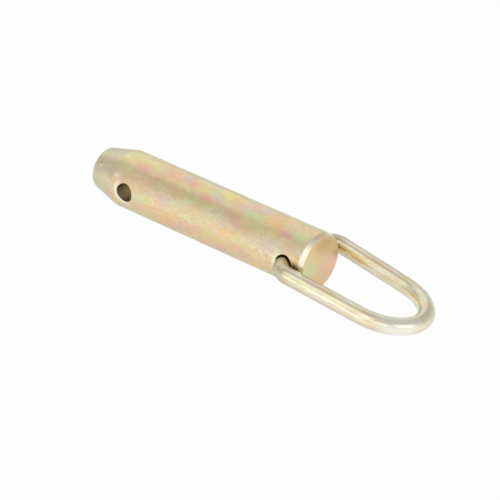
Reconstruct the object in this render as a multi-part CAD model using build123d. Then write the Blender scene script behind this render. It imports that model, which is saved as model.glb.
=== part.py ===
from build123d import *
from math import acos, asin, atan2, cos, degrees, hypot, radians, sin
import os

# Hitch pin with a swinging wire pull handle, lying on its side as it comes to rest.
# Millimetres. The pin lies along X: its nose points to -X and its head face to +X.
# The origin is on the pin's axis, midway between its two cross holes.

# Driving dimensions of the pin
pin_diameter = 28.0
pin_length = 128.7
taper_length = 15.4
nose_diameter = 19.6
nose_edge_radius = 2.3
taper_blend_radius = 4.0
head_bevel_length = 2.5
head_bevel_depth = 0.8
head_blend_radius = 3.0
head_rim_radius = 0.3

# Driving dimensions of the two cross holes, which both run along Y
linch_hole_diameter = 9.0
linch_hole_from_nose = 23.6
handle_hole_from_head = 10.8
hole_edge_break = 0.3

# Driving dimensions of the wire handle
wire_diameter = 8.0
wire_play_in_hole = 1.0
wire_gap_under = 0.15
wire_end_gap = 8.0
wire_end_bevel = 0.5
bend_inner_radius = 2.2
handle_side_play = 3.0
handle_narrowing = 5.1
handle_straight_length = 42.7
handle_end_length = 22.4
handle_sideways = 1.75
handle_lean = 2.3

# Sizes that follow
pin_radius = pin_diameter / 2
nose_radius = nose_diameter / 2
wire_radius = wire_diameter / 2
linch_hole_radius = linch_hole_diameter / 2
handle_hole_radius = (wire_diameter + wire_play_in_hole) / 2
bend_radius = wire_radius + bend_inner_radius
half_width_at_pin = pin_radius + handle_side_play + wire_radius
half_width_at_end = half_width_at_pin - handle_narrowing / 2
lean = radians(handle_lean)

# Places along X, from the middle of the grip between the two cross holes
grip_half_length = (pin_length - linch_hole_from_nose - handle_hole_from_head) / 2
linch_hole_x = -grip_half_length
handle_hole_x = grip_half_length
nose_x = linch_hole_x - linch_hole_from_nose
head_x = handle_hole_x + handle_hole_from_head

# The wire hangs just clear of its hole's lower wall, and the handle's far end lies on the floor
wire_drop = handle_hole_radius - wire_radius - wire_gap_under
hinge_height = pin_radius - wire_drop
handle_reach = handle_straight_length * cos(lean) + hypot(
    handle_end_length * cos(lean), half_width_at_end * sin(lean)
)
handle_pitch = degrees(asin((hinge_height - wire_radius) / handle_reach))


def turned_bar():
    """The pin before drilling: a bar turned to a tapered nose and a bevelled head face.

    The seam of the turned surface faces down, clear of the cross holes.
    """
    nose_corner = (nose_x, nose_radius)
    taper_corner = (nose_x + taper_length, pin_radius)
    bevel_corner = (head_x - head_bevel_length, pin_radius)
    rim_corner = (head_x, pin_radius - head_bevel_depth)
    outline = make_face(
        Polyline(
            (nose_x, 0),
            nose_corner,
            taper_corner,
            bevel_corner,
            rim_corner,
            (head_x, 0),
            close=True,
        )
    )
    rounded = (
        (nose_corner, nose_edge_radius),
        (taper_corner, taper_blend_radius),
        (bevel_corner, head_blend_radius),
        (rim_corner, head_rim_radius),
    )
    for corner, radius in rounded:
        outline = fillet(outline.vertices().sort_by_distance(corner)[0], radius)
    return Rot(-90, 0, 0) * revolve(outline, Axis.X)


def cross_drill(hole_x, hole_radius):
    """A drill through the pin along Y, at hole_x along its axis."""
    return Pos(hole_x, 0, 0) * Rot(90, 0, 0) * Cylinder(hole_radius, 2 * pin_diameter)


def mouth_edges(body, hole_x):
    """The two curved edges where the wall of a cross hole meets the round of the pin."""
    walls = body.faces().filter_by(GeomType.CYLINDER)
    drilled = [wall for wall in walls if abs(wall.axis_of_rotation.direction.Y) > 0.5]
    here = [wall for wall in drilled if abs(wall.axis_of_rotation.position.X - hole_x) < hole_edge_break]
    return [edge for wall in here for edge in wall.edges() if edge.geom_type != GeomType.LINE]


def pin_body():
    """The drilled pin, with the edges of both holes broken."""
    body = turned_bar()
    holes = ((linch_hole_x, linch_hole_radius), (handle_hole_x, handle_hole_radius))
    for hole_x, hole_radius in holes:
        body -= cross_drill(hole_x, hole_radius)
    for hole_x, _ in holes:
        body = chamfer(mouth_edges(body, hole_x), hole_edge_break)
    return body


def handle_point(along, across):
    """A point of the handle's own outline, turned and shifted to where the handle lies on its hinge."""
    return (
        along * cos(lean) - across * sin(lean),
        along * sin(lean) + across * cos(lean) + handle_sideways,
    )


def leg_end(side):
    """Where a leg's line touches the ellipse of the rounded end: along, across, and its angle on the ellipse."""
    across_ratio = half_width_at_pin / half_width_at_end
    along_ratio = handle_straight_length / handle_end_length
    touch = acos(1 / hypot(across_ratio, along_ratio)) - atan2(along_ratio, across_ratio)
    return (
        handle_straight_length + handle_end_length * sin(touch),
        side * half_width_at_end * cos(touch),
        degrees(touch),
    )


def leg_path(side):
    """The wire's centre line from its end in the hole to the rounded end of the handle."""
    along, across, _ = leg_end(side)
    end_x, end_y = handle_point(along, across)
    root_x, root_y = handle_point(0, side * half_width_at_pin)
    corner_y = root_y - root_x * (end_y - root_y) / (end_x - root_x)
    return FilletPolyline(
        (0, side * wire_end_gap / 2),
        (0, corner_y),
        (end_x, end_y),
        radius=bend_radius,
    )


def handle_path():
    """The centre line of the whole handle, with its hinge along the local Y axis."""
    _, _, touch = leg_end(1)
    rounded_end = EllipticalCenterArc(
        handle_point(handle_straight_length, 0),
        handle_end_length,
        half_width_at_end,
        start_angle=touch - 90,
        arc_size=180 - 2 * touch,
        rotation=handle_lean,
    )
    return Wire(leg_path(-1).edges() + [rounded_end.edge()] + leg_path(1).edges())


def pull_handle():
    """The bent wire, laid down until its far end rests on the floor."""
    path = handle_path()
    section = Plane(origin=path @ 0, z_dir=path % 0) * Circle(wire_radius)
    wire = sweep(section, path=path)
    ends = wire.faces().filter_by(Axis.Y)
    wire = chamfer([edge for face in ends for edge in face.edges()], wire_end_bevel)
    return Pos(handle_hole_x, 0, -wire_drop) * Rot(0, handle_pitch, 0) * wire


os.makedirs("parts", exist_ok=True)
export_step(pin_body(), "parts/pin_body.step")
export_step(pull_handle(), "parts/pull_handle.step")
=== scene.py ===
"""Looks of a steel hitch pin with a swinging wire pull handle.

The pin lies on its side on a pale floor, as it comes to rest, with its nose towards -X,
its head face towards +X, and both cross holes along Y. Object coordinates are in metres.
Patterns are laid out in millimetres: along the pin, and round it on its unrolled skin.
"""

from __future__ import annotations

import logging
import math
from abc import ABC, abstractmethod
from dataclasses import dataclass
from enum import Enum

import bpy
from mathutils import Matrix, Vector


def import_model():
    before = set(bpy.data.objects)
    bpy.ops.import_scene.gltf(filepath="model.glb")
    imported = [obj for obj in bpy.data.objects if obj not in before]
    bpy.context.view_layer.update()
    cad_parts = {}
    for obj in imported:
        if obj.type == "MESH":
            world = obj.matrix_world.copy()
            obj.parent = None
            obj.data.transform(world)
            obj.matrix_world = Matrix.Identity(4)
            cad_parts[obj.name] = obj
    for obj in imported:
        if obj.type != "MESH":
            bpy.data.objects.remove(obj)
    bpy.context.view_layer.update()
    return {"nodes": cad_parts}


MILLIMETRE = 0.001
PER_METRE = 1000.0

log = logging.getLogger("hitch_pin")


class Tint(Enum):
    """Colours that a yellow chromate film takes on zinc, as linear red, green and blue."""

    GOLD = (0.925, 0.715, 0.395)
    STRAW = (0.90, 0.80, 0.35)
    ROSE = (0.92, 0.56, 0.44)
    PINK = (0.93, 0.50, 0.46)
    AMBER = (0.95, 0.60, 0.27)
    OLIVE = (0.70, 0.60, 0.29)
    SAGE = (0.72, 0.80, 0.44)
    MOSS = (0.74, 0.72, 0.33)
    LAVENDER = (0.74, 0.62, 0.60)
    ASH = (0.64, 0.61, 0.43)
    # Bare zinc, and also the colour of painted highlights
    BARE_AND_HIGHLIGHT = (0.95, 0.92, 0.80)
    FILM = (0.94, 0.89, 0.69)
    CLAY = (0.76, 0.53, 0.30)
    # Paler edges: worn zinc, and painted highlight where the light catches them
    BRIGHT = (0.97, 0.94, 0.76)
    BRONZE = (0.70, 0.55, 0.34)
    UMBER = (0.66, 0.54, 0.40)
    # A dark colour for painted shadow, not a colour of the film
    PAINTED_SHADOW = (0.30, 0.24, 0.15)


Socket = bpy.types.NodeSocket
Source = Socket | Tint | float | tuple[float, ...]


class NodeBench:
    """Adds shader nodes to one material's tree and joins them."""

    def __init__(self, material: bpy.types.Material) -> None:
        """Empties the material's tree and puts in its output and its place on the object.

        Args:
            material: The material whose nodes are built.
        """
        material.use_nodes = True
        self.tree = material.node_tree
        self.tree.nodes.clear()
        self.output = self.tree.nodes.new("ShaderNodeOutputMaterial")
        place = self.tree.nodes.new("ShaderNodeTexCoord").outputs["Object"]
        self.place = self.scaled(place, PER_METRE)
        split = self.add("ShaderNodeSeparateXYZ", {"Vector": self.place})
        self.x, self.y, self.z = split.outputs

    def add(self, kind: str, inputs: dict[str | int, Source], **settings: object) -> bpy.types.Node:
        """Adds a node.

        Args:
            kind: Blender's name of the node type.
            inputs: The value or the source socket for each named or numbered input.
            **settings: Values of the node's own properties.

        Returns:
            The new node.
        """
        node = self.tree.nodes.new(kind)
        for name, value in settings.items():
            setattr(node, name, value)
        for key, value in inputs.items():
            self.feed(node.inputs[key], value)
        return node

    def feed(self, socket: Socket, value: Source) -> None:
        """Joins a source socket to an input, or writes a plain value on it.

        Args:
            socket: The input that is fed.
            value: A source socket, a number, a vector or a tint.
        """
        if isinstance(value, Socket):
            self.tree.links.new(value, socket)
        elif isinstance(value, Tint):
            socket.default_value = (*value.value, 1.0)
        else:
            socket.default_value = value

    def math(self, operation: str, first: Source, second: Source = 0.0) -> Socket:
        """Works out one sum, product or function of one or two numbers."""
        return self.add("ShaderNodeMath", {0: first, 1: second}, operation=operation).outputs[0]

    def vector(self, operation: str, first: Source, second: Source) -> Socket:
        """Works out one sum or difference of two vectors."""
        return self.add("ShaderNodeVectorMath", {0: first, 1: second}, operation=operation).outputs[0]

    def scaled(self, where: Source, factor: float) -> Socket:
        """Makes a vector longer or shorter by a factor."""
        return self.add("ShaderNodeVectorMath", {0: where, "Scale": factor}, operation="SCALE").outputs[0]

    def length(self, where: Source) -> Socket:
        """Works out the length of a vector."""
        return self.add("ShaderNodeVectorMath", {0: where}, operation="LENGTH").outputs["Value"]

    def join(self, first: Source, second: Source) -> Socket:
        """Makes a flat vector of two numbers."""
        return self.add("ShaderNodeCombineXYZ", {0: first, 1: second}).outputs[0]

    def spread(self, where: Source, sizes: tuple[float, float, float], seed: float) -> Socket:
        """Stretches coordinates for a pattern.

        Args:
            where: The coordinates in millimetres.
            sizes: The size of one pattern unit along each coordinate, in millimetres.
            seed: Shifts the pattern, so that no two patterns are alike.

        Returns:
            The pattern's own coordinates.
        """
        scale = tuple(1 / size for size in sizes)
        offset = (seed, -seed, seed / 2)
        return self.add("ShaderNodeMapping", {"Vector": where, "Scale": scale, "Location": offset}).outputs[0]

    def ease(self, value: Source, low: float, high: float, start: float = 0.0, end: float = 1.0) -> Socket:
        """Runs smoothly from start to end while value goes from low to high.

        Args:
            value: The driving number.
            low: Where the run begins.
            high: Where the run ends.
            start: The result at and before low.
            end: The result at and after high.

        Returns:
            The result's socket.
        """
        inputs = {"Value": value, "From Min": low, "From Max": high, "To Min": start, "To Max": end}
        return self.add("ShaderNodeMapRange", inputs, interpolation_type="SMOOTHSTEP").outputs[0]

    def blend(self, share: Source, under: Source, over: Source) -> Socket:
        """Lays one colour over another.

        Args:
            share: How much of the upper colour shows, from 0 to 1.
            under: The lower colour.
            over: The upper colour.

        Returns:
            The new colour's socket.
        """
        node = self.add("ShaderNodeMix", {}, data_type="RGBA")
        self.feed(node.inputs[0], share)
        self.feed(node.inputs[6], under)
        self.feed(node.inputs[7], over)
        return node.outputs[2]

    def bump(self, height: Source, strength: float, depth: float) -> Socket:
        """Turns a pattern into relief of a depth in millimetres."""
        inputs = {"Height": height, "Strength": strength, "Distance": depth * MILLIMETRE}
        return self.add("ShaderNodeBump", inputs).outputs[0]


@dataclass(frozen=True)
class Ramp:
    """A smooth run from start to end while a driving number goes from low to high."""

    low: float
    high: float
    start: float = 0.0
    end: float = 1.0

    def run(self, bench: NodeBench, value: Source) -> Socket:
        """Gives the result for a driving number."""
        return bench.ease(value, self.low, self.high, self.start, self.end)


@dataclass(frozen=True)
class Grain:
    """A random pattern: the size of its units along X, Y and Z in millimetres, and how fine it is."""

    sizes: tuple[float, float, float]
    seed: float
    detail: float
    rough: float = 0.5
    warp: float = 0.0

    def value(self, bench: NodeBench) -> Socket:
        """Works out the pattern on the piece.

        Args:
            bench: The material's nodes.

        Returns:
            The pattern's value, between 0 and 1.
        """
        where = bench.spread(bench.place, self.sizes, self.seed)
        inputs = {"Vector": where, "Scale": 1.0, "Detail": self.detail}
        inputs |= {"Roughness": self.rough, "Distortion": self.warp}
        return bench.add("ShaderNodeTexNoise", inputs).outputs["Fac"]


@dataclass(frozen=True)
class Pull:
    """Pulls coordinates about, so that what is laid out on them gets a ragged outline."""

    size: float
    reach: float
    seed: float = 4.4
    detail: float = 3.0

    def ragged(self, bench: NodeBench, where: Source) -> Socket:
        """Pulls the coordinates.

        Args:
            bench: The material's nodes.
            where: The coordinates in millimetres.

        Returns:
            The pulled coordinates.
        """
        spread = bench.spread(where, (self.size, self.size, self.size), self.seed)
        inputs = {"Vector": spread, "Scale": 1.0, "Detail": self.detail}
        pull = bench.add("ShaderNodeTexNoise", inputs).outputs["Color"]
        centred = bench.vector("SUBTRACT", pull, (0.5, 0.5, 0.5))
        return bench.vector("ADD", where, bench.scaled(centred, 2 * self.reach))


@dataclass(frozen=True)
class Wash:
    """A tint that drifts over the plating in soft random clouds, of a length and a width in millimetres."""

    tint: Tint
    strength: float
    length: float
    width: float
    cover: float
    seed: float
    clear_level: float = 0.60
    full_level: float = 0.80
    detail: float = 1.5
    rough: float = 0.45
    warp: float = 0.4

    def lay(self, bench: NodeBench, colour: Source) -> Socket:
        """Lays the wash over a colour.

        Args:
            bench: The material's nodes.
            colour: The colour underneath.

        Returns:
            The new colour's socket.
        """
        sizes = (self.length, self.width, self.width)
        clouds = Grain(sizes, self.seed, self.detail, self.rough, self.warp)
        lower = self.cover / 3
        edge = Ramp(self.clear_level - lower, self.full_level - lower, 0.0, self.strength)
        return bench.blend(edge.run(bench, clouds.value(bench)), colour, self.tint)


@dataclass(frozen=True)
class Stain:
    """A tint that lies on one place of a surface, at a place and of a size in millimetres."""

    tint: Tint
    strength: float
    place: tuple[float, float]
    size: tuple[float, float]
    core: float = 0.15

    def lay(self, bench: NodeBench, skin: Source, colour: Source) -> Socket:
        """Lays the stain over a colour.

        Args:
            bench: The material's nodes.
            skin: The coordinates of the surface in millimetres.
            colour: The colour underneath.

        Returns:
            The new colour's socket.
        """
        scale = (1 / self.size[0], 1 / self.size[1], 0.0)
        offset = (-self.place[0] / self.size[0], -self.place[1] / self.size[1], 0.0)
        here = bench.add("ShaderNodeMapping", {"Vector": skin, "Scale": scale, "Location": offset}).outputs[0]
        share = bench.ease(bench.length(here), self.core, 1.0, self.strength, 0.0)
        return bench.blend(share, colour, self.tint)


@dataclass(frozen=True)
class Spot:
    """A tint round one point of a piece. Its place and reach are in millimetres."""

    tint: Tint
    strength: float
    place: tuple[float, float, float]
    reach: float

    def lay(self, bench: NodeBench, colour: Source) -> Socket:
        """Lays the spot over a colour.

        Args:
            bench: The material's nodes.
            colour: The colour underneath.

        Returns:
            The new colour's socket.
        """
        away = bench.length(bench.vector("SUBTRACT", bench.place, self.place))
        share = bench.ease(away, self.reach / 3, self.reach, self.strength, 0.0)
        return bench.blend(share, colour, self.tint)


@dataclass(frozen=True)
class PlatingFinish:
    """Satin zinc plate under a yellow chromate film: what both pieces share."""

    name: str
    ground: Tint
    washes: tuple[Wash, ...]
    gloss_low: float
    gloss_high: float
    gloss_grain: Grain = Grain((5.0, 2.5, 2.5), 8.8, 3.0, 0.6)
    gloss_levels: tuple[float, float] = (0.35, 0.65)
    edge: tuple[float, float, float, float] = (0.85, 0.95, 1.0, 1.0)

    def clouds(self, bench: NodeBench) -> Source:
        """Lays every wash over the ground colour.

        Args:
            bench: The material's nodes.

        Returns:
            The colour's socket.
        """
        colour: Source = self.ground
        for wash in self.washes:
            colour = wash.lay(bench, colour)
        return colour

    def gloss(self, bench: NodeBench) -> Socket:
        """The roughness, which wanders between the finish's two limits."""
        ramp = Ramp(*self.gloss_levels, self.gloss_low, self.gloss_high)
        return ramp.run(bench, self.gloss_grain.value(bench))

    def shader(self, bench: NodeBench, colour: Source, normal: Source) -> None:
        """Joins colour, roughness and relief to the metal's shader.

        Args:
            bench: The material's nodes.
            colour: The colour's socket.
            normal: The relief's socket.
        """
        inputs = {"Base Color": colour, "Roughness": self.gloss(bench), "Normal": normal}
        inputs |= {"Metallic": 1.0, "Specular Tint": self.edge}
        shader = bench.add("ShaderNodeBsdfPrincipled", inputs)
        bench.feed(bench.output.inputs["Surface"], shader.outputs[0])


class PlatedPiece(ABC):
    """A piece of the part under its plating. Each kind of piece has its own colour and relief."""

    finish: PlatingFinish

    @abstractmethod
    def colour(self, bench: NodeBench) -> Source:
        """The plating's colour."""

    @abstractmethod
    def relief(self, bench: NodeBench) -> Socket:
        """The relief of the surface."""

    def dress(self, node: bpy.types.Object) -> None:
        """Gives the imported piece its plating.

        Args:
            node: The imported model's piece.
        """
        material = bpy.data.materials.new(self.finish.name)
        bench = NodeBench(material)
        self.finish.shader(bench, self.colour(bench), self.relief(bench))
        node.material_slots[0].material = material


@dataclass
class PinBody(PlatedPiece):
    """The turned and drilled pin. Its sizes are in millimetres."""

    radius: float = 14.0
    head_x: float = 57.95
    bevel_length: float = 2.5
    taper_x: float = -55.35
    hole_x: float = 47.15
    hole_radius: float = 4.5

    finish: PlatingFinish = PlatingFinish(
        name="pin_zinc_plate",
        ground=Tint.GOLD,
        washes=(
            Wash(Tint.STRAW, 0.75, 21.0, 10.0, 0.48, 3.1),
            Wash(Tint.ROSE, 0.70, 18.0, 9.0, 0.46, 7.7),
            Wash(Tint.MOSS, 0.50, 19.0, 9.0, 0.38, 61.7),
            Wash(Tint.LAVENDER, 0.55, 15.0, 8.0, 0.36, 21.9),
            Wash(Tint.SAGE, 0.42, 16.0, 9.0, 0.38, 33.3),
            Wash(Tint.AMBER, 0.62, 14.0, 7.0, 0.40, 52.6),
            Wash(Tint.BARE_AND_HIGHLIGHT, 0.22, 3.0, 1.6, 0.50, 41.5),
            Wash(Tint.BRONZE, 0.20, 2.6, 1.5, 0.50, 72.9),
        ),
        gloss_low=0.28,
        gloss_high=0.38,
    )

    # Places are along the pin, and round it from the front over the top, on the unrolled skin
    stains: tuple[Stain, ...] = (
        # These two bands run the pin's whole length at one angle round it: a darker olive band of painted
        # shade, and a paler band of painted highlight
        Stain(Tint.OLIVE, 0.20, (0.0, 11.0), (95.0, 3.4)),
        Stain(Tint.BARE_AND_HIGHLIGHT, 0.25, (0.0, 6.6), (95.0, 3.4)),
        Stain(Tint.ROSE, 0.75, (-43.0, 16.0), (9.0, 5.5)),
        Stain(Tint.STRAW, 0.65, (-41.0, 20.5), (10.0, 3.5)),
        Stain(Tint.LAVENDER, 0.70, (-18.5, 20.0), (4.0, 4.0)),
        Stain(Tint.PINK, 0.80, (-14.5, 17.8), (5.0, 3.2)),
        Stain(Tint.ROSE, 0.70, (-3.5, 14.5), (11.0, 3.2)),
        Stain(Tint.SAGE, 0.70, (-2.0, 19.0), (4.0, 2.8)),
        Stain(Tint.STRAW, 0.70, (4.5, 21.5), (5.5, 5.0)),
        Stain(Tint.SAGE, 0.80, (22.0, 16.2), (11.0, 3.2)),
        Stain(Tint.AMBER, 0.70, (35.0, 16.5), (8.0, 3.8)),
        Stain(Tint.PINK, 0.80, (42.0, 13.4), (6.0, 3.4)),
        Stain(Tint.SAGE, 0.80, (51.0, 14.5), (5.0, 3.0)),
        Stain(Tint.CLAY, 0.55, (22.0, 8.0), (11.0, 3.4)),
        Stain(Tint.ROSE, 0.60, (17.0, 9.0), (6.0, 4.0)),
        Stain(Tint.PINK, 0.50, (21.0, -2.5), (8.0, 4.0)),
        Stain(Tint.STRAW, 0.60, (33.0, -3.8), (11.0, 3.0)),
        Stain(Tint.STRAW, 0.60, (-32.5, 1.8), (6.0, 4.0)),
        Stain(Tint.SAGE, 0.55, (-37.0, 0.6), (4.0, 2.6)),
        Stain(Tint.ROSE, 0.50, (-8.0, -3.0), (9.0, 4.0)),
        # A warmer band along the pin's whole length, low on the front, painted as a tint of the reflected
        # light there
        Stain(Tint.AMBER, 0.25, (0.0, -4.5), (95.0, 6.0)),
        Stain(Tint.MOSS, 0.55, (-34.0, 3.0), (7.0, 4.0)),
        Stain(Tint.MOSS, 0.50, (-29.0, 10.0), (8.0, 4.0)),
        Stain(Tint.MOSS, 0.50, (32.0, 10.0), (6.0, 4.0)),
    )
    stain_pull: Pull = Pull(7.0, 3.0)

    # Painted shadow where the handle's wire lies close along the pin
    painted_wire_shadow: Stain = Stain(Tint.PAINTED_SHADOW, 0.85, (53.3, 1.1), (5.0, 1.9))

    # Places are laid out in the same way, and go over the greyed nose
    nose_stains: tuple[Stain, ...] = (
        Stain(Tint.LAVENDER, 0.40, (-63.0, 22.0), (10.0, 6.0)),
        Stain(Tint.ROSE, 0.30, (-63.0, 13.0), (10.0, 4.5)),
        Stain(Tint.SAGE, 0.35, (-63.0, 2.0), (9.0, 4.5)),
        Stain(Tint.STRAW, 0.30, (-62.0, -4.5), (9.0, 4.0)),
        Stain(Tint.UMBER, 0.75, (-67.0, 7.0), (8.0, 8.0)),
        Stain(Tint.UMBER, 0.50, (-58.0, 7.5), (7.0, 5.0)),
        Stain(Tint.BARE_AND_HIGHLIGHT, 0.75, (-53.0, 7.5), (3.0, 1.4)),
        Stain(Tint.BARE_AND_HIGHLIGHT, 0.60, (-54.0, 17.5), (3.5, 1.6)),
    )
    nose_rings: Grain = Grain((0.9, 30.0, 30.0), 2.2, 2.0, 0.6)
    nose_ring_depth: Ramp = Ramp(0.3, 0.7, 0.35, 0.9)
    grey_before_taper: float = 2.0
    grey_along_taper: float = 3.0

    # Places are across the head face and up it, from its middle
    face_stains: tuple[Stain, ...] = (
        Stain(Tint.BRONZE, 0.35, (2.0, -2.0), (20.0, 20.0)),
        Stain(Tint.SAGE, 0.35, (-8.0, -1.0), (8.0, 13.0)),
        Stain(Tint.SAGE, 0.60, (-10.0, -3.0), (8.0, 9.0)),
        Stain(Tint.CLAY, 0.70, (2.0, 9.0), (11.0, 6.0)),
        Stain(Tint.ROSE, 0.60, (7.0, -4.0), (10.0, 11.0)),
        Stain(Tint.CLAY, 0.60, (12.0, 2.0), (4.0, 9.0)),
    )
    face_pull: Pull = Pull(4.0, 2.0)
    face_edge: tuple[float, float] = (-0.35, -0.1)
    bevel_edge: tuple[float, float] = (-0.2, 0.3)
    bevel_share: float = 0.85
    bevel_darker_top: Ramp = Ramp(12.4, 13.3, 0.0, 0.6)

    # The rims of the cross holes are paler on their nose side, and more so lower down: worn zinc, and a
    # painted highlight where the light catches them
    rim_wear_and_highlight: float = 1.7
    rim_wear_and_highlight_edge: float = 1.0
    rim_wear_and_highlight_slant: float = 0.7
    wall_edge: tuple[float, float] = (0.02, 0.1)
    wall_share: float = 0.9
    wall_mottle: Grain = Grain((1.2, 1.6, 1.2), 12.5, 2.0, 0.6)
    wall_mottle_share: Ramp = Ramp(0.42, 0.58, 0.0, 0.7)

    rubbed_places: Grain = Grain((14.0, 6.0, 6.0), 15.2, 1.0)
    rubbed_share: Ramp = Ramp(0.45, 0.62)
    rubbed_on_top: float = 0.12
    specks: Grain = Grain((1.6, 0.9, 0.9), 6.1, 2.0, 0.6)
    pale_specks: Ramp = Ramp(0.54, 0.64, 0.0, 0.6)
    dark_specks: Ramp = Ramp(0.36, 0.46, 0.45, 0.0)

    rolled_grain: Grain = Grain((2.0, 0.5, 0.5), 1.7, 3.0, 0.6)
    rolled_height: float = 0.25
    dents: Grain = Grain((7.0, 3.5, 3.5), 9.9, 2.0)
    turned_rings: Grain = Grain((0.35, 40.0, 40.0), 5.5, 1.0)
    turned_height: float = 0.3
    turned_edge: float = 1.0
    relief_strength: float = 0.5
    relief_depth: float = 0.15

    def unrolled(self, bench: NodeBench) -> Socket:
        """The place on the pin's unrolled skin: along the pin, and round it from the front over the top."""
        angle = bench.math("ARCTAN2", bench.z, bench.math("MULTIPLY", bench.y, -1.0))
        return bench.join(bench.x, bench.math("MULTIPLY", angle, self.radius))

    def from_hole(self, bench: NodeBench, hole_x: float) -> Socket:
        """The distance from the axis of the cross hole at hole_x."""
        along = bench.math("SUBTRACT", bench.x, hole_x)
        return bench.length(bench.join(along, bench.z))

    def colour(self, bench: NodeBench) -> Source:
        """The plating's colour, with its stains, bands of painted shade and highlight, rims and bevel paler
        as worn zinc with a painted highlight, darker hole walls and a painted shadow by the wire.

        Args:
            bench: The material's nodes.

        Returns:
            The colour's socket.
        """
        skin = self.unrolled(bench)
        ragged_skin = self.stain_pull.ragged(bench, skin)
        shade = self.finish.clouds(bench)
        for stain in self.stains:
            shade = stain.lay(bench, ragged_skin, shade)
        shade = self.greyed_nose(bench, ragged_skin, shade)
        shade = self.scuffs(bench, shade)
        shade = self.head(bench, shade)
        shade = self.holes(bench, shade)
        # Lays the painted shadow where the wire lies close along the pin
        return self.painted_wire_shadow.lay(bench, skin, shade)

    def greyed_nose(self, bench: NodeBench, skin: Source, shade: Source) -> Source:
        """Greys the tapered nose in soft rings, and lays its own stains over it.

        Args:
            bench: The material's nodes.
            skin: The coordinates of the surface in millimetres.
            shade: The colour underneath.

        Returns:
            The new colour's socket.
        """
        depth = self.nose_ring_depth.run(bench, self.nose_rings.value(bench))
        full_x = self.taper_x - self.grey_along_taper
        clear_x = self.taper_x + self.grey_before_taper
        on_taper = bench.ease(bench.x, full_x, clear_x, 1.0, 0.0)
        shade = bench.blend(bench.math("MULTIPLY", on_taper, depth), shade, Tint.ASH)
        for stain in self.nose_stains:
            shade = stain.lay(bench, skin, shade)
        return shade

    def scuffs(self, bench: NodeBench, shade: Source) -> Source:
        """Adds pale and dark specks, thicker in some places than in others and fewer on top.

        Args:
            bench: The material's nodes.
            shade: The colour underneath.

        Returns:
            The new colour's socket.
        """
        low_down = bench.ease(bench.z, self.radius, self.radius / 2, self.rubbed_on_top, 1.0)
        rubbed = self.rubbed_share.run(bench, self.rubbed_places.value(bench))
        rubbed = bench.math("MULTIPLY", rubbed, low_down)
        specks = self.specks.value(bench)
        for ramp, tint in ((self.pale_specks, Tint.BARE_AND_HIGHLIGHT), (self.dark_specks, Tint.BRONZE)):
            share = bench.math("MULTIPLY", ramp.run(bench, specks), rubbed)
            shade = bench.blend(share, shade, tint)
        return shade

    def head(self, bench: NodeBench, shade: Source) -> Source:
        """Pales the bevel as worn zinc with a painted highlight, darker at its top, and gives the head face
        its own stains.

        Args:
            bench: The material's nodes.
            shade: The colour underneath.

        Returns:
            The new colour's socket.
        """
        # The bevel's pale band is partly worn zinc and partly painted highlight; it is darker at its top
        bevel = bench.blend(self.bevel_darker_top.run(bench, bench.z), Tint.BRIGHT, Tint.BRONZE)
        bevel_x = self.head_x - self.bevel_length
        low_x, high_x = (bevel_x + step for step in self.bevel_edge)
        shade = bench.blend(bench.ease(bench.x, low_x, high_x, 0.0, self.bevel_share), shade, bevel)
        face: Source = self.finish.ground
        flat = self.face_pull.ragged(bench, bench.join(bench.y, bench.z))
        for stain in self.face_stains:
            face = stain.lay(bench, flat, face)
        low_x, high_x = (self.head_x + step for step in self.face_edge)
        return bench.blend(bench.ease(bench.x, low_x, high_x), shade, face)

    def holes(self, bench: NodeBench, shade: Source) -> Source:
        """Pales the rims of both cross holes as worn zinc with a painted highlight, and darkens their walls.

        Args:
            bench: The material's nodes.
            shade: The colour underneath.

        Returns:
            The new colour's socket.
        """
        mottle = self.wall_mottle_share.run(bench, self.wall_mottle.value(bench))
        wall = bench.blend(mottle, Tint.UMBER, Tint.ASH)
        wide = self.hole_radius + self.rim_wear_and_highlight
        rim = Ramp(wide - self.rim_wear_and_highlight_edge, wide + self.rim_wear_and_highlight_edge, 1.0, 0.0)
        low, high = (self.hole_radius + step for step in self.wall_edge)
        inside = Ramp(low, high, self.wall_share, 0.0)
        slant = bench.math("ADD", bench.x, bench.math("MULTIPLY", bench.z, self.rim_wear_and_highlight_slant))
        for hole_x in (-self.hole_x, self.hole_x):
            away = self.from_hole(bench, hole_x)
            nose_side = bench.ease(slant, hole_x - wide, hole_x + wide / 2, 1.0, 0.0)
            rim_wear_and_highlight_share = bench.math("MULTIPLY", rim.run(bench, away), nose_side)
            shade = bench.blend(rim_wear_and_highlight_share, shade, Tint.BRIGHT)
            shade = bench.blend(inside.run(bench, away), shade, wall)
        return shade

    def relief(self, bench: NodeBench) -> Socket:
        """The fine grain along the shank, soft dents, and the rings left by turning on the nose.

        Args:
            bench: The material's nodes.

        Returns:
            The relief's socket.
        """
        rolled = bench.math("MULTIPLY", self.rolled_grain.value(bench), self.rolled_height)
        height = bench.math("ADD", rolled, self.dents.value(bench))
        on_taper = bench.ease(bench.x, self.taper_x - self.turned_edge, self.taper_x, 1.0, 0.0)
        ring_height = bench.math("MULTIPLY", on_taper, self.turned_height)
        rings = bench.math("MULTIPLY", self.turned_rings.value(bench), ring_height)
        height = bench.math("ADD", height, rings)
        return bench.bump(height, self.relief_strength, self.relief_depth)


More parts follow.
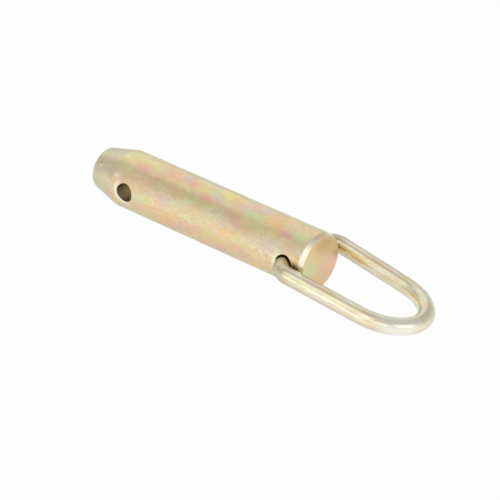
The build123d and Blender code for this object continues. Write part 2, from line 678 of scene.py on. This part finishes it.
@dataclass
class PullHandle(PlatedPiece):
    """The bent wire handle. Its sizes are in millimetres."""

    finish: PlatingFinish = PlatingFinish(
        name="handle_zinc_plate",
        ground=Tint.FILM,
        washes=(
            Wash(Tint.STRAW, 0.45, 14.0, 2.6, 0.44, 5.3),
            Wash(Tint.ROSE, 0.48, 14.0, 2.4, 0.42, 9.1),
            Wash(Tint.LAVENDER, 0.40, 18.0, 1.3, 0.44, 17.2),
            Wash(Tint.SAGE, 0.35, 9.0, 2.4, 0.38, 27.4),
        ),
        gloss_low=0.20,
        gloss_high=0.30,
    )
    # A pale spot at the loop's end, partly worn film and partly a painted highlight, and a darker umber spot
    spots: tuple[Spot, ...] = (
        Spot(Tint.BARE_AND_HIGHLIGHT, 0.9, (109.0, -8.5, -8.0), 13.0),
        Spot(Tint.UMBER, 0.4, (112.0, 9.5, -6.0), 11.0),
    )
    bend_x: float = 49.0
    bend_reach: float = 9.0
    bend_ash: float = 0.75
    # Painted shade where the bends pass close by the pin's head
    bend_painted_shade: float = 0.45

    # Painted shade on the wire's lower side, laid by height over its middle, which falls away from the hinge
    hinge_x: float = 47.15
    fall: float = 0.15
    underside: Ramp = Ramp(-2.8, 0.4, 0.6, 0.0)

    waves: Grain = Grain((6.0, 1.5, 1.5), 3.3, 3.0, 0.55)
    relief_strength: float = 0.4
    relief_depth: float = 0.1

    def colour(self, bench: NodeBench) -> Source:
        """The plating's colour, greyer at the bends by the pin, with painted shade there and on the wire's
        lower side, and a pale spot that is partly a painted highlight.

        Args:
            bench: The material's nodes.

        Returns:
            The colour's socket.
        """
        end_x = self.bend_x + self.bend_reach
        half_x = self.bend_x + self.bend_reach / 2
        ash = bench.ease(bench.x, self.bend_x, end_x, self.bend_ash, 0.0)
        # Painted shade at the bends, by the pin's head
        umber = bench.ease(bench.x, half_x, end_x, self.bend_painted_shade, 0.0)
        slope = bench.math("MULTIPLY", bench.math("SUBTRACT", bench.x, self.hinge_x), self.fall)
        # Painted shade on the wire's lower side
        under = self.underside.run(bench, bench.math("ADD", bench.z, slope))
        colour = self.finish.clouds(bench)
        for share, tint in ((ash, Tint.ASH), (umber, Tint.UMBER), (under, Tint.UMBER)):
            colour = bench.blend(share, colour, tint)
        for spot in self.spots:
            colour = spot.lay(bench, colour)
        return colour

    def relief(self, bench: NodeBench) -> Socket:
        """The faint waviness that drawing and bending leave in the wire."""
        return bench.bump(self.waves.value(bench), self.relief_strength, self.relief_depth)


@dataclass(frozen=True)
class SoftBox:
    """A soft studio lamp that faces the object."""

    name: str
    towards: tuple[float, float, float]
    distance: float
    width: float
    height: float
    brightness: float

    def build(self) -> bpy.types.Object:
        """Adds the lamp.

        Returns:
            The lamp's object.
        """
        direction = Vector(self.towards).normalized()
        bpy.ops.object.light_add(type="AREA", location=direction * self.distance)
        lamp = bpy.context.object
        lamp.name = self.name
        lamp.rotation_euler = direction.to_track_quat("Z", "Y").to_euler()
        lamp.data.shape = "RECTANGLE"
        lamp.data.size = self.width
        lamp.data.size_y = self.height
        lamp.data.energy = self.brightness * math.pi * self.width * self.height
        return lamp


@dataclass
class Floor:
    """The pale floor. Its height and radius are in metres, and the places in its paint in millimetres."""

    height: float = -14.0 * MILLIMETRE
    radius: float = 4.0
    sides: int = 96
    paint: float = 0.85
    white_to_camera: float = 0.97
    # Less white in the metal near the pin, as a painted shadow in the floor's reflection
    white_in_metal_shaded_near_pin: Ramp = Ramp(10.0, 55.0, 0.55, 0.88)
    part_middle: float = -8.0
    part_half_length: float = 58.0

    def white_share(self, bench: NodeBench) -> Socket:
        """How much of the floor looks pure white: to the camera, and in the metal, less near the pin as a
        painted shadow.

        Args:
            bench: The material's nodes.

        Returns:
            The share's socket.
        """
        rays = bench.add("ShaderNodeLightPath", {})
        along = bench.math("ABSOLUTE", bench.math("SUBTRACT", bench.x, self.part_middle))
        past_end = bench.math("MAXIMUM", bench.math("SUBTRACT", along, self.part_half_length), 0.0)
        away = bench.length(bench.join(past_end, bench.y))
        to_metal = bench.math("MAXIMUM", rays.outputs["Is Glossy Ray"], rays.outputs["Is Transmission Ray"])
        to_metal = bench.math("MULTIPLY", to_metal, self.white_in_metal_shaded_near_pin.run(bench, away))
        to_camera = bench.math("MULTIPLY", rays.outputs["Is Camera Ray"], self.white_to_camera)
        return bench.math("MAXIMUM", to_camera, to_metal)

    def build(self) -> bpy.types.Object:
        """Adds the floor, which looks white and still keeps a faint shadow.

        Returns:
            The floor's object.
        """
        place = (0, 0, self.height)
        bpy.ops.mesh.primitive_circle_add(
            vertices=self.sides, radius=self.radius, fill_type="NGON", location=place
        )
        floor = bpy.context.object
        floor.name = "floor"
        material = bpy.data.materials.new("floor_white")
        bench = NodeBench(material)
        share = self.white_share(bench)
        paint = bench.add("ShaderNodeBsdfDiffuse", {"Color": (self.paint, self.paint, self.paint, 1.0)})
        white = bench.add("ShaderNodeEmission", {"Color": (1.0, 1.0, 1.0, 1.0), "Strength": 1.0})
        mixed = bench.add("ShaderNodeMixShader", {0: share, 1: paint.outputs[0], 2: white.outputs[0]})
        bench.feed(bench.output.inputs["Surface"], mixed.outputs[0])
        floor.data.materials.append(material)
        return floor


@dataclass
class Camera:
    """The photograph's camera. Its angles are in degrees, its lens in millimetres, the rest in metres."""

    azimuth: float = 36.25
    elevation: float = 28.154
    roll: float = 5.149
    distance: float = 1334.71 * MILLIMETRE
    target: tuple[float, float, float] = (12.86 * MILLIMETRE, 7.108 * MILLIMETRE, -14.0 * MILLIMETRE)
    lens: float = 208.32
    clip_start: float = 0.05
    clip_end: float = 20.0

    def build(self) -> bpy.types.Object:
        """Adds the camera at the photograph's place and angle.

        Returns:
            The camera's object.
        """
        turn, rise, tilt = (math.radians(angle) for angle in (self.azimuth, self.elevation, self.roll))
        back = Vector((math.sin(turn) * math.cos(rise), -math.cos(turn) * math.cos(rise), math.sin(rise)))
        level = Vector((math.cos(turn), math.sin(turn), 0.0))
        upright = back.cross(level)
        right = level * math.cos(tilt) + upright * math.sin(tilt)
        up = upright * math.cos(tilt) - level * math.sin(tilt)
        bpy.ops.object.camera_add(location=Vector(self.target) + back * self.distance)
        camera = bpy.context.object
        camera.name = "photo_camera"
        camera.rotation_euler = Matrix((right, up, back)).transposed().to_euler()
        camera.data.lens = self.lens
        camera.data.clip_start = self.clip_start
        camera.data.clip_end = self.clip_end
        bpy.context.scene.camera = camera
        return camera


@dataclass
class Studio:
    """The floor, the surrounding light, the lamps and the camera. Its lengths are in metres."""

    horizon_light: float = 0.96
    overhead_light: float = 0.70
    light_edge: tuple[float, float] = (0.1, 0.72)
    boxes: tuple[SoftBox, ...] = (
        SoftBox("head_soft_box", (0.14, -0.76, 0.62), 2.0, 0.6, 1.5, 0.55),
        SoftBox("top_front_soft_box", (-0.10, -0.60, 0.78), 2.0, 1.3, 1.6, 0.42),
        SoftBox("front_soft_box", (-0.16, -0.96, 0.14), 2.0, 0.9, 1.0, 0.68),
        SoftBox("back_soft_box", (-0.62, 0.40, 0.67), 2.0, 2.0, 2.0, 0.30),
        SoftBox("camera_side_soft_box", (0.52, -0.76, 0.38), 2.0, 1.1, 0.9, 0.45),
        SoftBox("side_soft_box", (0.92, -0.10, 0.42), 2.0, 1.3, 1.2, 0.58),
    )

    def build_world(self) -> None:
        """Makes the surrounding light: bright at the horizon and greyer overhead."""
        world = bpy.data.worlds.new("studio")
        bpy.context.scene.world = world
        world.use_nodes = True
        tree = world.node_tree
        tree.nodes.clear()
        output = tree.nodes.new("ShaderNodeOutputWorld")
        light = tree.nodes.new("ShaderNodeBackground")
        place = tree.nodes.new("ShaderNodeTexCoord")
        split = tree.nodes.new("ShaderNodeSeparateXYZ")
        fade = tree.nodes.new("ShaderNodeMapRange")
        fade.interpolation_type = "SMOOTHSTEP"
        fade.inputs["From Min"].default_value = self.light_edge[0]
        fade.inputs["From Max"].default_value = self.light_edge[1]
        fade.inputs["To Min"].default_value = self.horizon_light
        fade.inputs["To Max"].default_value = self.overhead_light
        tree.links.new(place.outputs["Generated"], split.inputs[0])
        tree.links.new(split.outputs[2], fade.inputs[0])
        tree.links.new(fade.outputs[0], light.inputs["Strength"])
        tree.links.new(light.outputs[0], output.inputs["Surface"])

    def build(self) -> None:
        """Makes the whole studio."""
        Floor().build()
        self.build_world()
        for box in self.boxes:
            box.build()
        Camera().build()
        bpy.context.scene.view_settings.view_transform = "Standard"


def main() -> None:
    """Dresses the pin and the handle, and builds the studio round them."""
    logging.basicConfig(level=logging.INFO, format="%(name)s: %(message)s")
    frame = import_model()
    PinBody().dress(frame["nodes"]["pin_body"])
    log.info("pin body dressed")
    PullHandle().dress(frame["nodes"]["pull_handle"])
    log.info("pull handle dressed")
    Studio().build()
    log.info("studio built")


if __name__ == "__main__":
    main()
